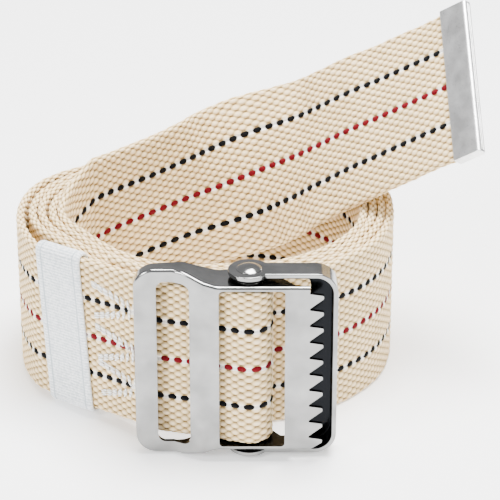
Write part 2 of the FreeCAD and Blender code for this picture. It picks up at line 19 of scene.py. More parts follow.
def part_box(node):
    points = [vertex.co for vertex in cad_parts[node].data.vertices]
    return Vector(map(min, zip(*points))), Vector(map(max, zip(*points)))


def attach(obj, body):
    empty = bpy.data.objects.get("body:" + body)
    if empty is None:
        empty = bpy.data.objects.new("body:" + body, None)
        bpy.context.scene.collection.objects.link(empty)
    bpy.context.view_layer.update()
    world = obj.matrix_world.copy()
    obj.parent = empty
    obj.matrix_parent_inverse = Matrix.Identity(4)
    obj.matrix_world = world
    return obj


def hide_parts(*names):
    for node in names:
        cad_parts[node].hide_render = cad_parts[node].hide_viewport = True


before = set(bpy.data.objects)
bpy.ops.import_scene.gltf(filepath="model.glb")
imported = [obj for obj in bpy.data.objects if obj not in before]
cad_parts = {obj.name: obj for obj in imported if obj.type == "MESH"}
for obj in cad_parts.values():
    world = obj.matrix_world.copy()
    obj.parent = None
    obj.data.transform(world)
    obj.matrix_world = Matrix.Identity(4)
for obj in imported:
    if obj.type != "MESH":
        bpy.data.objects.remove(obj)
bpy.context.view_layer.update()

MM = 0.001
log = logging.getLogger("gait_belt")


class Slot(enum.Enum):
    """The record's material slots."""

    WEBBING = "webbing"
    END_TIP = "end_tip"
    ELASTIC = "elastic"
    THREAD = "thread"
    BUCKLE = "buckle"


class Body(enum.Enum):
    """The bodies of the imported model."""

    BELT = "belt"
    KEEPER = "keeper"
    BAIL = "bail"
    JAW = "jaw"


# ---------------------------------------------------------------- small helpers
def linear(hex_colour: str) -> tuple[float, float, float, float]:
    """Turns an sRGB hex colour into linear RGBA.

    Args:
        hex_colour: Six hex digits, such as "EFE6D4".

    Returns:
        Red, green, blue and alpha.
    """
    shares = [int(hex_colour[i : i + 2], 16) / 255 for i in (0, 2, 4)]
    channels = [c / 12.92 if c <= 0.04045 else ((c + 0.055) / 1.055) ** 2.4 for c in shares]
    return (*channels, 1.0)


def add_node(
    tree: bpy.types.NodeTree, kind: str, links: dict | None = None, **settings: object
) -> bpy.types.Node:
    """Adds a node, sets its properties and inputs and links it up.

    Args:
        tree: The node tree.
        kind: The node's type name.
        links: Input name or index to a socket that feeds it, or to a value.
        settings: Properties of the node.

    Returns:
        The new node.
    """
    node = tree.nodes.new(kind)
    for name, value in settings.items():
        setattr(node, name, value)
    for key, value in (links or {}).items():
        if isinstance(value, bpy.types.NodeSocket):
            tree.links.new(value, node.inputs[key])
        else:
            node.inputs[key].default_value = value
    return node


def smooth_object(name: str, mesh: bpy.types.Mesh) -> bpy.types.Object:
    """Links a mesh as an object at the origin, shaded smooth.

    Args:
        name: The object's name.
        mesh: Its mesh.

    Returns:
        The object.
    """
    piece = bpy.data.objects.new(name, mesh)
    bpy.context.scene.collection.objects.link(piece)
    mesh.polygons.foreach_set("use_smooth", [True] * len(mesh.polygons))
    return piece


def settle(piece: bpy.types.Object) -> None:
    """Bakes a piece's modifiers into its mesh and removes them."""
    graph = bpy.context.evaluated_depsgraph_get()
    graph.update()
    baked = bpy.data.meshes.new_from_object(piece.evaluated_get(graph))
    piece.modifiers.clear()
    piece.data = baked


def dress(piece: bpy.types.Object, material: bpy.types.Material) -> None:
    """Gives a piece its one material."""
    piece.data.materials.clear()
    piece.data.materials.append(material)


def place_piece(piece: bpy.types.Object, body: Body, slot: Slot, *nodes: str) -> None:
    """Hangs a finished piece on its body, in place of its CAD nodes.

    Args:
        piece: The finished object.
        body: The body it moves with.
        slot: The record's slot for it; not used.
        nodes: The CAD nodes that it stands for.
    """
    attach(piece, body.value)
    if nodes:
        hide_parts(*nodes)
    log.info("%s rides on %s", piece.name, body.value)


# ---------------------------------------------------------------- finishes
@dataclass(frozen=True)
class WovenCotton:
    """Natural cotton webbing, woven thick: plump warp floats, with three rows of dyed tracer yarn.

    The eye gets matt cream bumps, painted lighter on top, with painted brown shade in the hollows, and crisp
    dark dashes.
    """

    painted_lit_crest: str = "F6DFB8"
    painted_shade_flank: str = "D6B883"
    painted_shade_hollow: str = "50391A"
    bleached: str = "FFFDF8"
    black_yarn: str = "040406"
    red_yarn: str = "5E0410"
    column_mm: float = 1.975
    row_mm: float = 2.3
    rows_round: float = 23.0
    black_rows: tuple[float, float] = (6.0, 17.0)
    red_row: float = 11.5
    dash_long_mm: float = 2.75
    dash_high_mm: float = 1.85
    float_long_mm: float = 3.3
    float_high_mm: float = 2.3

    def far(
        self,
        math_node: Callable[..., bpy.types.NodeSocket],
        off_along: bpy.types.NodeSocket,
        off_row: bpy.types.NodeSocket,
    ) -> bpy.types.NodeSocket:
        """How far a spot is from a float's middle, squared, with 1 at the float's rim.

        Args:
            math_node: Adds the sums to the material's tree.
            off_along: Distance from the middle along the webbing, in columns.
            off_row: Distance from the middle across it, in rows.

        Returns:
            The squared distance.
        """
        long = math_node("MULTIPLY", off_along, 2 * self.column_mm / self.float_long_mm)
        high = math_node("MULTIPLY", off_row, 2 * self.row_mm / self.float_high_mm)
        return math_node("ADD", math_node("MULTIPLY", long, long), math_node("MULTIPLY", high, high))

    def domes(self, columns: np.ndarray, rows: np.ndarray) -> np.ndarray:
        """Height share of the woven surface at places in the weave.

        Args:
            columns: Places along the webbing, in columns.
            rows: Places round it, in rows.

        Returns:
            Shares from 0, in the crevices, to 1, on the floats' middles.
        """
        off_along = np.abs((columns + 1) % 2 - 1)
        off_row = np.abs((rows + 0.5) % 1 - 0.5)
        long, high = 2 * self.column_mm / self.float_long_mm, 2 * self.row_mm / self.float_high_mm
        near = (off_along * long) ** 2 + (off_row * high) ** 2
        other = ((1 - off_along) * long) ** 2 + ((0.5 - off_row) * high) ** 2
        return 1 - np.clip(np.minimum(near, other), 0, 1) ** 1.25

    def material(self) -> bpy.types.Material:
        """Builds the material. It reads the weave map: columns along, rows round the webbing."""
        made = bpy.data.materials.new("woven_cotton")
        made.use_nodes = True
        tree = made.node_tree
        shader = tree.nodes["Principled BSDF"]
        weave = add_node(tree, "ShaderNodeUVMap", uv_map="weave").outputs[0]
        split = add_node(tree, "ShaderNodeSeparateXYZ", {0: weave})
        along, rows = split.outputs[0], split.outputs[1]

        def math_node(operation: str, *values: object) -> bpy.types.NodeSocket:
            """A math node's result."""
            links = dict(enumerate(values))
            return add_node(tree, "ShaderNodeMath", links, operation=operation).outputs[0]

        # Every second column of floats is shifted by half a row, so each has its neighbour's cell.
        off_along = math_node("PINGPONG", along, 1.0)
        off_row = math_node("PINGPONG", rows, 0.5)
        near = self.far(math_node, off_along, off_row)
        off_along = math_node("SUBTRACT", 1.0, off_along)
        off_row = math_node("SUBTRACT", 0.5, off_row)
        edge = math_node("MINIMUM", near, self.far(math_node, off_along, off_row))

        # Ragged fibre ends along a dash, about a fifth of a millimetre.
        ragged = add_node(tree, "ShaderNodeTexNoise", {"Vector": weave, "Scale": 4.0, "Detail": 2.0})
        fray = math_node("MULTIPLY_ADD", ragged.outputs[0], 0.5, -0.25)

        def dashes(row: float, phase: float) -> bpy.types.NodeSocket:
            """Mask of one row of dashes, 1 inside a dash."""
            folded = math_node("MODULO", rows, self.rows_round)
            off_row = math_node("ABSOLUTE", math_node("SUBTRACT", folded, row))
            off_centre = math_node("PINGPONG", math_node("ADD", along, phase), 1.0)
            high = math_node("MULTIPLY", off_row, self.row_mm * 2 / self.dash_high_mm)
            long = math_node("MULTIPLY", off_centre, self.column_mm * 2 / self.dash_long_mm)
            total = math_node("ADD", math_node("POWER", high, 2.4), math_node("POWER", long, 2.6))
            return math_node("LESS_THAN", math_node("ADD", total, fray), 1.0)

        def row_band(row: float) -> bpy.types.NodeSocket:
            """Mask of the whole row that a tracer yarn runs in."""
            folded = math_node("MODULO", rows, self.rows_round)
            off_row = math_node("ABSOLUTE", math_node("SUBTRACT", folded, row))
            return math_node("LESS_THAN", off_row, 0.36)

        black = math_node("MAXIMUM", dashes(self.black_rows[0], 0.0), dashes(self.black_rows[1], 0.0))
        red = dashes(self.red_row, 1.0)
        band = math_node("MAXIMUM", row_band(self.black_rows[0]), row_band(self.black_rows[1]))
        band = math_node("MAXIMUM", band, row_band(self.red_row))

        # Uneven natural cotton: patches of about a centimetre, and single yarns.
        patches = add_node(tree, "ShaderNodeTexNoise", {"Vector": weave, "Scale": 0.13, "Detail": 3.0})
        yarns = add_node(tree, "ShaderNodeTexNoise", {"Vector": weave, "Scale": 1.1, "Detail": 2.0})
        depth = math_node("ADD", edge, math_node("MULTIPLY_ADD", yarns.outputs[0], 0.3, -0.15))
        # Painted light: the floats' tops are painted lighter, their flanks darker and the crevices between
        # them brown, where shade falls.
        crevice_shade_range = {0: depth, 1: 0.46, 2: 0.95, 3: 0.0, 4: 0.95}
        painted_crevice_shade = add_node(tree, "ShaderNodeMapRange", crevice_shade_range).outputs[0]
        slope = add_node(tree, "ShaderNodeMapRange", {0: depth, 1: 0.05, 2: 0.45, 3: 0.0, 4: 1.0}).outputs[0]

        def mixed(factor: object, first: object, second: object, blend: str = "MIX") -> bpy.types.NodeSocket:
            """A colour mix's result."""
            links = {"Factor": factor, 6: first, 7: second}
            return add_node(tree, "ShaderNodeMix", links, data_type="RGBA", blend_type=blend).outputs[2]

        cream = mixed(painted_crevice_shade, mixed(slope, linear(self.painted_lit_crest), linear(self.painted_shade_flank)), linear(self.painted_shade_hollow))
        tone = math_node("MULTIPLY_ADD", patches.outputs[0], 0.3, 0.86)
        grey = add_node(tree, "ShaderNodeCombineColor", {0: tone, 1: tone, 2: tone}).outputs[0]
        toned = mixed(1.0, cream, grey, "MULTIPLY")
        pale = mixed(math_node("MULTIPLY", band, 0.8), toned, linear(self.bleached))
        with_black = mixed(black, pale, linear(self.black_yarn))
        with_red = mixed(red, with_black, linear(self.red_yarn))
        tree.links.new(with_red, shader.inputs["Base Color"])

        # Twisted yarn: slanted strands about half a millimetre apart across each bump.
        strands = math_node(
            "SINE", math_node("ADD", math_node("MULTIPLY", rows, 26.0), math_node("MULTIPLY", along, 9.0))
        )
        fuzz = add_node(tree, "ShaderNodeTexNoise", {"Vector": weave, "Scale": 5.0, "Detail": 3.0}).outputs[0]
        relief = math_node("ADD", math_node("MULTIPLY", strands, 0.07), math_node("MULTIPLY", fuzz, 0.3))
        relief = math_node("SUBTRACT", relief, math_node("POWER", edge, 1.5))
        bump = add_node(tree, "ShaderNodeBump", {"Height": relief, "Distance": 0.3 * MM, "Strength": 0.8})
        tree.links.new(bump.outputs[0], shader.inputs["Normal"])
        shader.inputs["Roughness"].default_value = 0.92
        shader.inputs["IOR"].default_value = 1.46
        shader.inputs["Specular IOR Level"].default_value = 0.12
        shader.inputs["Sheen Weight"].default_value = 0.04
        shader.inputs["Sheen Roughness"].default_value = 0.5
        return made


@dataclass(frozen=True)
class PlatedSteel:
    """Steel pressed, polished and nickel plated: a mirror with faint waves and fine wear, and painted shade
    on the faces that look into the buckle.
    """

    name: str
    colour: str = "878786"
    roughness: float = 0.13
    wave_mm: float = 9.0
    grain_mm: float = 0.5
    wave_depth_mm: float = 0.22
    # Colour of the painted shade on the faces that look into the buckle.
    painted_recess_colour: str = "151618"

    def material(self) -> bpy.types.Material:
        """Builds the material, on Object coordinates."""
        made = bpy.data.materials.new(self.name)
        made.use_nodes = True
        tree = made.node_tree
        shader = tree.nodes["Principled BSDF"]
        where = add_node(tree, "ShaderNodeTexCoord").outputs["Object"]
        wave = add_node(
            tree, "ShaderNodeTexNoise", {"Vector": where, "Scale": 1 / (self.wave_mm * MM), "Detail": 2.0}
        ).outputs[0]
        grain = add_node(
            tree, "ShaderNodeTexNoise", {"Vector": where, "Scale": 1 / (self.grain_mm * MM), "Detail": 3.0}
        ).outputs[0]
        rough = add_node(
            tree,
            "ShaderNodeMapRange",
            {0: grain, 1: 0.3, 2: 0.75, 3: self.roughness * 0.75, 4: self.roughness * 1.5},
        ).outputs[0]
        tree.links.new(rough, shader.inputs["Roughness"])
        # Painted reflection: the waves brighten and darken the base colour, standing in for the uneven mirror
        # image across the plates.
        tint = add_node(tree, "ShaderNodeMapRange", {0: wave, 1: 0.3, 2: 0.7, 3: 0.78, 4: 1.2}).outputs[0]
        grey = add_node(tree, "ShaderNodeCombineColor", {0: tint, 1: tint, 2: tint}).outputs[0]
        colour = add_node(
            tree,
            "ShaderNodeMix",
            {"Factor": 1.0, 6: linear(self.colour), 7: grey},
            data_type="RGBA",
            blend_type="MULTIPLY",
        ).outputs[2]
        # Painted shade: faces marked as looking into the buckle are painted dark, in place of the shade and
        # dark reflections inside it.
        painted_recess_shade = add_node(tree, "ShaderNodeAttribute", attribute_name="painted_recess_shade").outputs["Fac"]
        darkened = {"Factor": painted_recess_shade, 6: colour, 7: linear(self.painted_recess_colour)}
        shaded = add_node(tree, "ShaderNodeMix", darkened, data_type="RGBA").outputs[2]
        tree.links.new(shaded, shader.inputs["Base Color"])
        bump = add_node(
            tree, "ShaderNodeBump", {"Height": wave, "Distance": self.wave_depth_mm * MM, "Strength": 0.6}
        )
        tree.links.new(bump.outputs[0], shader.inputs["Normal"])
        shader.inputs["Metallic"].default_value = 1.0
        return made


@dataclass(frozen=True)
class KnittedElastic:
    """White knitted elastic: matt and bluish white, with fine ribs and a denser edge, and painted shade in
    its rib hollows, its border grooves and between its stitches.

    Its width, its borders and its ribs' pitch are those of the sleeve that wears it.
    """

    wide_mm: float
    border_mm: float
    rib_mm: float
    colour: str = "F4F6F7"
    painted_shade: str = "AEB7BD"
    stitch_mm: float = 0.8
    line_mm: float = 0.28
    relief_mm: float = 0.08

    def material(self) -> bpy.types.Material:
        """Builds the material. It reads the knit map: millimetres across and round the sleeve."""
        made = bpy.data.materials.new("knitted_elastic")
        made.use_nodes = True
        tree = made.node_tree
        shader = tree.nodes["Principled BSDF"]
        knit = add_node(tree, "ShaderNodeUVMap", uv_map="knit").outputs[0]
        stitches = add_node(
            tree,
            "ShaderNodeTexVoronoi",
            {"Vector": knit, "Scale": 1 / self.stitch_mm},
            feature="F1",
        ).outputs[0]
        cloud = {"Vector": knit, "Scale": 0.2, "Detail": 3.0}
        cloudy = add_node(tree, "ShaderNodeTexNoise", cloud).outputs[0]
        split = add_node(tree, "ShaderNodeSeparateXYZ", {0: knit})
        # Painted shade: darker in the ribs' hollows, along the groove inside each border and between the
        # stitches.
        turn = {0: split.outputs[1], 1: 2 * math.pi / self.rib_mm}
        rib = add_node(tree, "ShaderNodeMath", turn, operation="MULTIPLY").outputs[0]
        wave = add_node(tree, "ShaderNodeMath", {0: rib}, operation="COSINE").outputs[0]
        painted_rib_shade = add_node(tree, "ShaderNodeMapRange", {0: wave, 1: -1.0, 2: 0.4, 3: 0.45, 4: 0.0}).outputs[0]
        to_edge = {0: split.outputs[0], 1: self.wide_mm / 2}
        off_edge = add_node(tree, "ShaderNodeMath", to_edge, operation="PINGPONG").outputs[0]
        off_seam = {0: off_edge, 1: self.border_mm, 2: self.line_mm}
        painted_groove_shade = add_node(tree, "ShaderNodeMath", off_seam, operation="COMPARE").outputs[0]
        lined = {0: painted_groove_shade, 1: 0.8, 2: painted_rib_shade}
        lines = add_node(tree, "ShaderNodeMath", lined, operation="MULTIPLY_ADD").outputs[0]
        knotted = {0: stitches, 1: 0.2, 2: 0.75, 3: 0.0, 4: 0.5}
        painted_stitch_shade = add_node(tree, "ShaderNodeMapRange", knotted).outputs[0]
        dark = {0: lines, 1: painted_stitch_shade}
        painted_shade = add_node(tree, "ShaderNodeMath", dark, operation="ADD", use_clamp=True).outputs[0]
        shaded = {"Factor": painted_shade, 6: linear(self.colour), 7: linear(self.painted_shade)}
        colour = add_node(tree, "ShaderNodeMix", shaded, data_type="RGBA").outputs[2]
        tint = add_node(tree, "ShaderNodeMapRange", {0: cloudy, 1: 0.3, 2: 0.7, 3: 0.96, 4: 1.02}).outputs[0]
        grey = add_node(tree, "ShaderNodeCombineColor", {0: tint, 1: tint, 2: tint}).outputs[0]
        tinted = {"Factor": 1.0, 6: colour, 7: grey}
        toned = add_node(tree, "ShaderNodeMix", tinted, data_type="RGBA", blend_type="MULTIPLY").outputs[2]
        tree.links.new(toned, shader.inputs["Base Color"])
        height = {"Height": stitches, "Distance": self.relief_mm * MM, "Strength": 0.5}
        bump = add_node(tree, "ShaderNodeBump", height, invert=True)
        tree.links.new(bump.outputs[0], shader.inputs["Normal"])
        shader.inputs["Roughness"].default_value = 0.8
        shader.inputs["Sheen Weight"].default_value = 0.2
        return made


@dataclass(frozen=True)
class SewingThread:
    """White polyester thread, twisted, with a soft gloss."""

    colour: str = "FCFCFA"
    painted_shade: str = "CFCBC2"
    twist_mm: float = 0.35

    def material(self) -> bpy.types.Material:
        """Builds the material, on Object coordinates."""
        made = bpy.data.materials.new("sewing_thread")
        made.use_nodes = True
        tree = made.node_tree
        shader = tree.nodes["Principled BSDF"]
        where = add_node(tree, "ShaderNodeTexCoord").outputs["Object"]
        twist = add_node(
            tree,
            "ShaderNodeTexWave",
            {"Vector": where, "Scale": 1 / (self.twist_mm * MM * 2 * math.pi), "Distortion": 2.0},
            bands_direction="DIAGONAL",
        ).outputs[1]
        # Painted shade: the twist's grooves are darker.
        twisted = {"Factor": twist, 6: linear(self.painted_shade), 7: linear(self.colour)}
        colour = add_node(tree, "ShaderNodeMix", twisted, data_type="RGBA").outputs[2]
        tree.links.new(colour, shader.inputs["Base Color"])
        bump = add_node(tree, "ShaderNodeBump", {"Height": twist, "Distance": 0.05 * MM, "Strength": 0.5})
        tree.links.new(bump.outputs[0], shader.inputs["Normal"])
        shader.inputs["Roughness"].default_value = 0.5
        return made


# ---------------------------------------------------------------- the webbing's way
class Route:
    """A way in plan of straight runs and arcs in millimetres, each tangent to the one before."""

    def __init__(self, start: np.ndarray, heading: float) -> None:
        """Starts at a point, with a heading in degrees."""
        self.at = np.array(start, float)
        self.heading = heading
        self.pieces: list[tuple] = []
        self.length = 0.0

    @staticmethod
    def ahead(heading: float) -> np.ndarray:
        """The unit vector of a heading in degrees."""
        return np.array([math.cos(math.radians(heading)), math.sin(math.radians(heading))])

    def forward(self, distance: float) -> "Route":
        """Adds a straight run."""
        self.pieces.append((self.length, self.at, self.heading, distance, 0.0))
        self.at = self.at + self.ahead(self.heading) * distance
        self.length += distance
        return self

    def turn(self, radius: float, degrees: float) -> "Route":
        """Adds an arc.

        Args:
            radius: Its radius.
            degrees: How far it turns, to the left where positive.

        Returns:
            The route.
        """
        span = math.radians(abs(degrees)) * radius
        self.pieces.append((self.length, self.at, self.heading, span, degrees))
        self.at = self.along(self.length + span)[0]
        self.heading += degrees
        self.length += span
        return self

    def run_before(self, heading: float, point: np.ndarray, radius: float) -> float:
        """How long a straight run has to be for the bend after it to meet a line.

        Args:
            heading: The line's heading in degrees.
            point: A point on the line.
            radius: The bend's radius.

        Returns:
            The run's length.
        """
        turn = math.radians(heading - self.heading)
        to_corner = float((point - self.at) @ self.ahead(heading + 90)) / math.sin(-turn)
        return to_corner - radius * math.tan(abs(turn) / 2)

    def along(self, length: float) -> tuple[np.ndarray, float]:
        """The point and the heading at a length from the start."""
        start, at, heading, span, degrees = next(
            (piece for piece in reversed(self.pieces) if piece[0] <= length + 1e-9), self.pieces[0]
        )
        gone = length - start
        if not degrees:
            return at + self.ahead(heading) * gone, heading
        side = math.copysign(1.0, degrees)
        radius = span / math.radians(abs(degrees))
        centre = at + self.ahead(heading + 90) * side * radius
        now = heading + degrees * gone / span
        return centre - self.ahead(now + 90) * side * radius, now


@dataclass
class Strip:
    """A stretch of webbing, section by section, in millimetres about the pin.

    centre, across and face are arrays of points and directions; across is longer than 1 where the
    section is cut at a slant. column is the place in the weave, counted in columns.
    """

    centre: np.ndarray
    across: np.ndarray
    face: np.ndarray
    column: np.ndarray


@dataclass
class Webbing:
    """The one length of two inch webbing: free end, four turns, lead and the loop on the pin."""

    wide_mm: float = 50.8
    thick_mm: float = 2.5
    turn_gap_mm: float = 0.25
    loose_gaps_mm: tuple[float, float] = (1.0, 0.6)
    left_bend_mm: float = 34.5
    front_bend_mm: float = 44.5
    right_bend_mm: float = 50.0
    loop_bore_mm: float = 8.9
    posts_mm: tuple = ((-38.4, 63.5), (-15.9, 58.0), (-4.4, 64.5))
    slack_bend: tuple[float, float] = (65.0, 23.0)
    keeper_bend: tuple[float, float] = (14.0, 27.0)
    buckle_bend: tuple[float, float] = (8.0, 21.0)
    tail_bend_mm: float = 6.0
    loop_exit: float = 205.0
    lifts_mm: tuple[float, float] = (1.6, 5.2)
    keeper_room_mm: float = 23.0
    pin_mid_mm: float = 31.4
    tip_grip_mm: float = 9.4
    turns: int = 4
    free_bend: tuple = ((0, 0.5), (16.25, 0.512), (32.5, 0.545), (48.75, 0.587), (65, 0.637))
    free_climb: tuple = (
        (0.149, 0.176, 0.7185, 2),
        (0.302, 0.385, 0.787, 4),
        (0.460, 0.548, 0.856, 13),
        (0.607, 0.585, 0.945, 24),
        (0.741, 0.417, 1.066, 32),
        (0.863, 0.153, 1.213, 36),
        (0.979, -0.093, 1.364, 38.5),
        (1.098, -0.325, 1.500, 41.5),
        (1.217, -0.553, 1.638, 42),
        (1.3325, -0.794, 1.7795, 41),
    )
    weave: WovenCotton = field(default_factory=WovenCotton)
    row_steps: dict[str, int] = field(
        default_factory=lambda: {"webbing_lead": 6, "webbing_loop": 6, "webbing_free_end": 5}
    )
    valley_mm: float = 0.5
    relief_mm: float = 0.58
    origin: np.ndarray = field(init=False)
    strips: dict[str, Strip] = field(init=False, default_factory=dict)

    def __post_init__(self) -> None:
        """Finds the pin in the frame, sets the bends' posts and lays out the lead and the loop."""
        low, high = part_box("pivot_pin")
        self.origin = np.array([(low.x + high.x) / 2, (low.y + high.y) / 2, 0.0]) / MM
        self.layer_mm = self.thick_mm + self.turn_gap_mm
        self.posts = [np.array(post) for post in self.posts_mm]
        start = self.posts[0] - np.array([self.left_radius(1), 0])
        self.lead = Route(start, -90).turn(*self.slack_bend).turn(*self.keeper_bend)
        self.straight_at, self.straight_heading = self.lead.at, self.lead.heading
        self.straight_from = self.lead.length
        self.loop_radius = (self.loop_bore_mm + self.thick_mm) / 2
        heading = self.lead.heading + self.buckle_bend[1]
        loop_start = Route.ahead(heading - 90) * self.loop_radius
        self.straight_run = self.lead.run_before(heading, loop_start, self.buckle_bend[0])
        self.lead.forward(self.straight_run)
        self.straight_to = self.lead.length
        self.lead.turn(*self.buckle_bend)
        bend_end = self.lead.at
        self.lead.forward(float(np.linalg.norm(loop_start - bend_end)))
        ply = self.thick_mm + 0.1
        ply_side = Route.ahead(heading + 90) * ply
        self.loop = Route(loop_start, heading).turn(self.loop_radius, self.loop_exit - heading)
        self.loop.forward(self.loop.run_before(180 + heading, loop_start + ply_side, self.tail_bend_mm))
        self.loop.turn(self.tail_bend_mm, 180 + heading - self.loop_exit)
        self.loop.forward(float(np.linalg.norm(bend_end + ply_side - self.loop.at)))
        self.loop.turn(self.buckle_bend[0] - ply, -self.buckle_bend[1])
        slope = self.slope
        foot = (self.wide_mm / 2 + 1.35) * math.sin(slope)
        self.loop.forward(self.straight_run - self.keeper_room_mm * math.cos(slope) - foot - 0.35)

    @property
    def slope(self) -> float:
        """How steeply the lead climbs along its straight run, in radians."""
        return math.atan((self.lifts_mm[1] - self.lifts_mm[0]) / self.straight_run)

    def left_radius(self, turn: int) -> float:
        """Middle radius of a turn at the left bend, where two of the gaps are wider."""
        extra = (turn > 1) * self.loose_gaps_mm[0] + (turn > 3) * self.loose_gaps_mm[1]
        return self.left_bend_mm - self.thick_mm / 2 - (turn - 1) * self.layer_mm - extra

    def coil_turn(self, turn: int) -> Route:
        """One turn, from the left bend round the front, the right bend and the back."""
        inner, outer = self.left_radius(turn + 1), self.left_radius(turn)
        shrink = (turn - 1) * self.layer_mm + self.thick_mm / 2
        left, front, right = self.posts
        visits = (
            (left, inner),
            (front, self.front_bend_mm - shrink),
            (right, self.right_bend_mm - shrink),
            (left, outer),
        )
        route = Route(left - np.array([inner, 0]), -90)
        for (post, radius), (next_post, next_radius) in zip(visits, visits[1:]):
            way = next_post - post
            apart = float(np.linalg.norm(way))
            grow = next_radius - radius
            heading = math.degrees(math.atan2(way[1], way[0]) - math.asin(grow / apart))
            route.turn(radius, (heading - route.heading) % 360)
            route.forward(math.sqrt(apart**2 - grow**2))
        return route.turn(outer, (270 - route.heading) % 360)

    def lift(self, length: float) -> float:
        """Height of the lead's lower edge above the floor at a length."""
        marks = (0.0, self.straight_from, self.straight_to, self.lead.length)
        heights = (0.0, *self.lifts_mm, self.pin_mid_mm - self.wide_mm / 2)
        return float(np.interp(length, marks, heights))

    def upright_strip(
        self, route: Route, lifts: Callable[[float], float], first: float, step: float
    ) -> Strip:
        """Sections of webbing that stands on edge along a route.

        Args:
            route: The way in plan.
            lifts: Function from length to the height of the lower edge.
            first: The weave's place at the route's start, in millimetres.
            step: Distance between sections, in millimetres.

        Returns:
            The strip.
        """
        lengths = np.linspace(0, route.length, max(2, round(route.length / step)) + 1)
        spots = [route.along(length) for length in lengths]
        centre = np.array([[*spot, lifts(s) + self.wide_mm / 2] for (spot, _), s in zip(spots, lengths)])
        face = np.array([[*Route.ahead(heading + 90), 0.0] for _, heading in spots])
        across = np.tile([0.0, 0.0, 1.0], (len(lengths), 1))
        return Strip(centre, across, face, (first + lengths) / self.weave.column_mm)

    def free_points(self) -> np.ndarray:
        """Points of the free end: x, y, z and how far it leans back, in degrees."""
        bend = self.left_radius(self.turns + 1)
        points = []
        for degrees, high in self.free_bend:
            spot = self.posts[0] + Route.ahead(180 - degrees) * bend
            points.append([*spot, high * self.wide_mm, 0.0])
        core = self.right_bend_mm - self.turns * self.layer_mm
        way = self.posts[2] + core - spot
        for along, back, high, lean in self.free_climb:
            points.append([*(spot + np.array([along, back]) * way), high * self.wide_mm, lean])
        return np.array(points, float)

    def free_strip(self, step: float) -> Strip:
        """Sections of the free end, upright round the bend and then square to its climbing way."""
        points = self.free_points()
        padded = np.vstack([points[:1], points, points[-1:]])
        fine = 40
        rows = []
        for part in range(len(points) - 1):
            a, b, c, d = padded[part : part + 4]
            for share in np.arange(fine) / fine:
                square = share**2 * (a - 2.5 * b + 2 * c - 0.5 * d)
                cubic = square + share**3 * (1.5 * (b - c) + 0.5 * (d - a))
                rows.append([*(b + 0.5 * share * (c - a) + cubic), part + share])
        row = np.array(rows)
        way = row[-1, :3] - row[-9, :3]
        way /= np.linalg.norm(way)
        final = np.array([*(points[-1, :3] + way * self.tip_grip_mm), points[-1, 3], len(points)])
        row = np.vstack([row, [*points[-1], len(points) - 1], final])
        gone = np.concatenate([[0], np.cumsum(np.linalg.norm(np.diff(row[:, :3], axis=0), axis=1))])
        lengths = np.linspace(0, gone[-1], round(gone[-1] / step) + 1)
        even = np.array([np.interp(lengths, gone, row[:, i]) for i in range(5)]).T
        soft = np.hanning(2 * round(3.0 / step) + 1)
        soft /= soft.sum()
        half = len(soft) // 2
        lean = np.convolve(np.pad(even[:, 3], half, mode="edge"), soft, mode="valid")
        ways = np.gradient(even[:, :3], axis=0)
        ways[0] = [0, 1, 0]
        ways /= np.linalg.norm(ways, axis=1)[:, None]
        padded_ways = np.pad(ways, ((half, half), (0, 0)), mode="edge")
        ways = np.array([np.convolve(column, soft, mode="valid") for column in padded_ways.T]).T
        ways /= np.linalg.norm(ways, axis=1)[:, None]
        level = np.stack([-ways[:, 1], ways[:, 0], np.zeros(len(ways))], axis=1)
        level /= np.linalg.norm(level, axis=1)[:, None]
        angle = np.radians(lean)[:, None]
        square = np.cross(ways, level) * np.cos(angle) + level * np.sin(angle)
        turned = np.clip((even[:, 4] - (len(self.free_bend) - 1)) / 3, 0, 1)[:, None]
        across = np.array([[0.0, 0.0, 1.0]]) * (1 - turned) + square * turned
        across /= np.linalg.norm(across, axis=1)[:, None]
        face = np.cross(across, ways)
        slant = np.linalg.norm(face, axis=1)[:, None]
        return Strip(even[:, :3], across / slant, face / slant, -lengths / self.weave.column_mm)

    def section(self, row_steps: int) -> tuple[np.ndarray, np.ndarray, np.ndarray]:
        """The section's outline: offsets along across and face, their normals, and the row count."""
        radius = self.thick_mm / 2
        flat = self.wide_mm / 2 - radius
        rows = round(2 * flat / self.weave.row_mm)
        face_steps = rows * row_steps
        edge_steps = 2 * row_steps
        outline, normals, counts = [], [], []
        for side in (-1, 1):
            for i in range(face_steps):
                share = i / face_steps
                outline.append((-side * flat * (2 * share - 1), side * radius))
                normals.append((0.0, float(side)))
                counts.append((1 if side < 0 else rows + 3) + share * rows)
            for i in range(edge_steps):
                angle = math.pi * i / edge_steps
                outline.append((-side * (flat + radius * math.sin(angle)), side * radius * math.cos(angle)))
                normals.append((-side * math.sin(angle), side * math.cos(angle)))
                counts.append((rows + 1 if side < 0 else 2 * rows + 3) + 2 * i / edge_steps)
        outline = np.array(outline)
        outline[:, 0] *= -1
        normals = np.array(normals)
        normals[:, 0] *= -1
        return outline, normals, np.array(counts)

